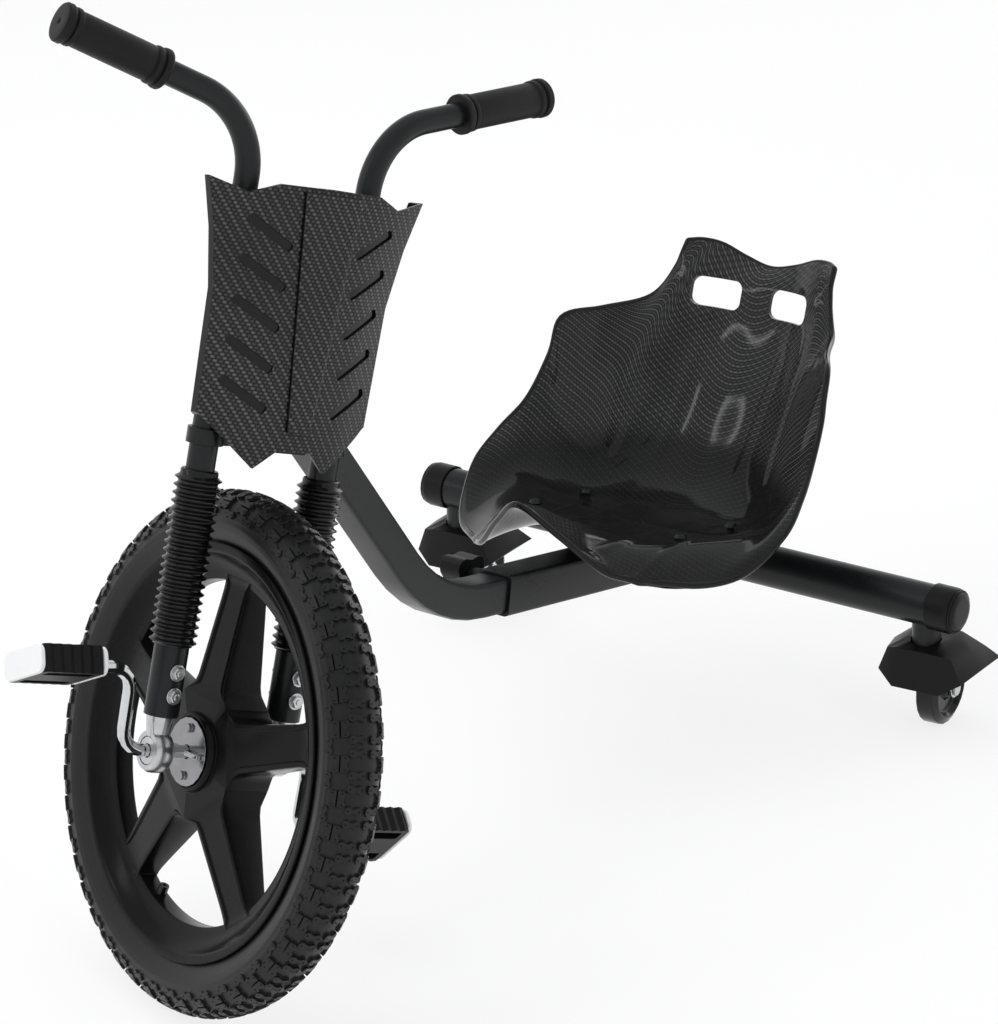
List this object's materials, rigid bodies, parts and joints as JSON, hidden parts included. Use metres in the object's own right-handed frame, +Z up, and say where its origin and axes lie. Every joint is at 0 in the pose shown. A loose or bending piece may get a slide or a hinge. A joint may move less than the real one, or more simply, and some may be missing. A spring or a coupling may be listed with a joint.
{
  "type": "drift trike",
  "caption": "Low pedal trike with a steered and sprung front wheel, fork fairing, moulded bucket seat, sliding rear frame and swivelling rear casters.",
  "frame": {"origin": "on the floor in the middle of the footprint of the trike as pictured, with the front wheel turned to the rider's left", "axes": "+Z up, -Y the way the trike faces, +X the rider's left; the trike is longest along Y"},
  "size_m": [0.5873, 0.9774, 0.7595],
  "materials": {
    "frame_paint": "satin black powder coat",
    "carbon_look": "glossy woven pattern",
    "satin_plastic": "satin black",
    "white_plastic": "smooth white",
    "tyre_rubber": "matt black knobbly tread",
    "grip_rubber": "soft matt black",
    "boot_rubber": "semi-gloss black",
    "caster_tread": "smooth dark grey polyurethane",
    "zinc_steel": "bright zinc plate",
    "bright_chrome": "polished chrome"
  },
  "bodies": {
    "main_body": {"main_frame": "frame_paint", "lower_headset_cup": "frame_paint", "upper_headset_cup": "frame_paint"},
    "steering": {"lower_crown": "frame_paint", "upper_crown": "frame_paint", "steerer_tube": "frame_paint", "steerer_nut": "zinc_steel", "fairing_shell": "carbon_look", "fairing_spine": "carbon_look", "upper_fork_tube_left": "frame_paint", "upper_fork_tube_right": "frame_paint", "handlebar_left": "frame_paint", "handlebar_right": "frame_paint", "grip_left": "grip_rubber", "grip_right": "grip_rubber"},
    "fork_lower": {"lower_leg_left": "frame_paint", "lower_leg_right": "frame_paint", "axle_eye_left": "zinc_steel", "axle_eye_right": "zinc_steel", "eye_bearing_left": "zinc_steel", "eye_bearing_right": "zinc_steel", "upper_leg_bolt_left": "zinc_steel", "upper_leg_bolt_right": "zinc_steel", "lower_leg_bolt_left": "zinc_steel", "lower_leg_bolt_right": "zinc_steel", "fork_boot_left": "boot_rubber", "fork_boot_right": "boot_rubber", "fork_spring_left": "zinc_steel", "fork_spring_right": "zinc_steel"},
    "front_wheel": {"tyre": "tyre_rubber", "inner_tube": "boot_rubber", "mag_wheel": "satin_plastic", "hub_plate_left": "bright_chrome", "hub_plate_right": "bright_chrome", "crankshaft": "bright_chrome"},
    "pedal_left": {"pedal_tread_left": "satin_plastic", "pedal_frame_left": "white_plastic"},
    "pedal_right": {"pedal_tread_right": "satin_plastic", "pedal_frame_right": "white_plastic"},
    "rear_frame": {"rear_sleeve": "frame_paint", "rear_axle_tube": "frame_paint", "axle_cap_left": "satin_plastic", "axle_cap_right": "satin_plastic", "front_seat_strap": "frame_paint", "rear_seat_strap": "frame_paint", "seat_shell": "carbon_look", "front_seat_bolt_left": "zinc_steel", "front_seat_bolt_right": "zinc_steel", "rear_seat_bolt_left": "zinc_steel", "rear_seat_bolt_right": "zinc_steel"},
    "clamp": {"clamp_knob": "satin_plastic"},
    "caster_left": {"caster_fork_left": "zinc_steel", "caster_cover_left": "satin_plastic", "caster_axle_left": "zinc_steel"},
    "caster_right": {"caster_fork_right": "zinc_steel", "caster_cover_right": "satin_plastic", "caster_axle_right": "zinc_steel"},
    "caster_roller_left": {"caster_wheel_left": "caster_tread"},
    "caster_roller_right": {"caster_wheel_right": "caster_tread"}
  },
  "joints": [
    {"name": "steering_turn", "type": "hinge", "parent": "main_body", "child": "steering", "pos_m": [0.0082, -0.22739, 0.45952], "axis": [0, 0.3228, 0.9465], "range_deg": [-143.46, 2.54]},
    {"name": "fork_travel", "type": "slide", "parent": "steering", "child": "fork_lower", "axis": [0, 0.3228, 0.9465], "range_m": [0, 0.02], "stiffness_N_per_m": 16000, "springref_m": -0.004, "deforming": ["fork_boot_left", "fork_boot_right", "fork_spring_left", "fork_spring_right"]},
    {"name": "wheel_spin", "type": "hinge", "parent": "fork_lower", "child": "front_wheel", "pos_m": [0.02422, -0.32508, 0.19066], "axis": [0.3345, 0.892, -0.3042], "continuous": true},
    {"name": "left_pedal_spin", "type": "hinge", "parent": "front_wheel", "child": "pedal_left", "pos_m": [0.05605, -0.193, 0.07513], "axis": [0.3345, 0.892, -0.3042], "continuous": true},
    {"name": "right_pedal_spin", "type": "hinge", "parent": "front_wheel", "child": "pedal_right", "pos_m": [-0.00761, -0.45716, 0.30619], "axis": [-0.3345, -0.892, 0.3042], "continuous": true},
    {"name": "rear_frame_slide", "type": "slide", "parent": "main_body", "child": "rear_frame", "axis": [0, 0.9797, -0.2006], "range_m": [0, 0.08]},
    {"name": "clamp_turn", "type": "hinge", "parent": "rear_frame", "child": "clamp", "pos_m": [-0.0218, 0.06239, 0.1857], "axis": [-1, 0, 0], "range_deg": [0, 360]},
    {"name": "left_caster_swivel", "type": "hinge", "parent": "rear_frame", "child": "caster_left", "pos_m": [0.254, 0.3395, 0.082], "axis": [0, 0, 1], "continuous": true},
    {"name": "right_caster_swivel", "type": "hinge", "parent": "rear_frame", "child": "caster_right", "pos_m": [-0.2376, 0.3395, 0.082], "axis": [0, 0, 1], "continuous": true},
    {"name": "left_caster_roll", "type": "hinge", "parent": "caster_left", "child": "caster_roller_left", "pos_m": [0.25191, 0.36943, 0.033], "axis": [0.9976, 0.0698, 0], "continuous": true},
    {"name": "right_caster_roll", "type": "hinge", "parent": "caster_right", "child": "caster_roller_right", "pos_m": [-0.23969, 0.36943, 0.033], "axis": [0.9976, 0.0698, 0], "continuous": true}
  ]
}
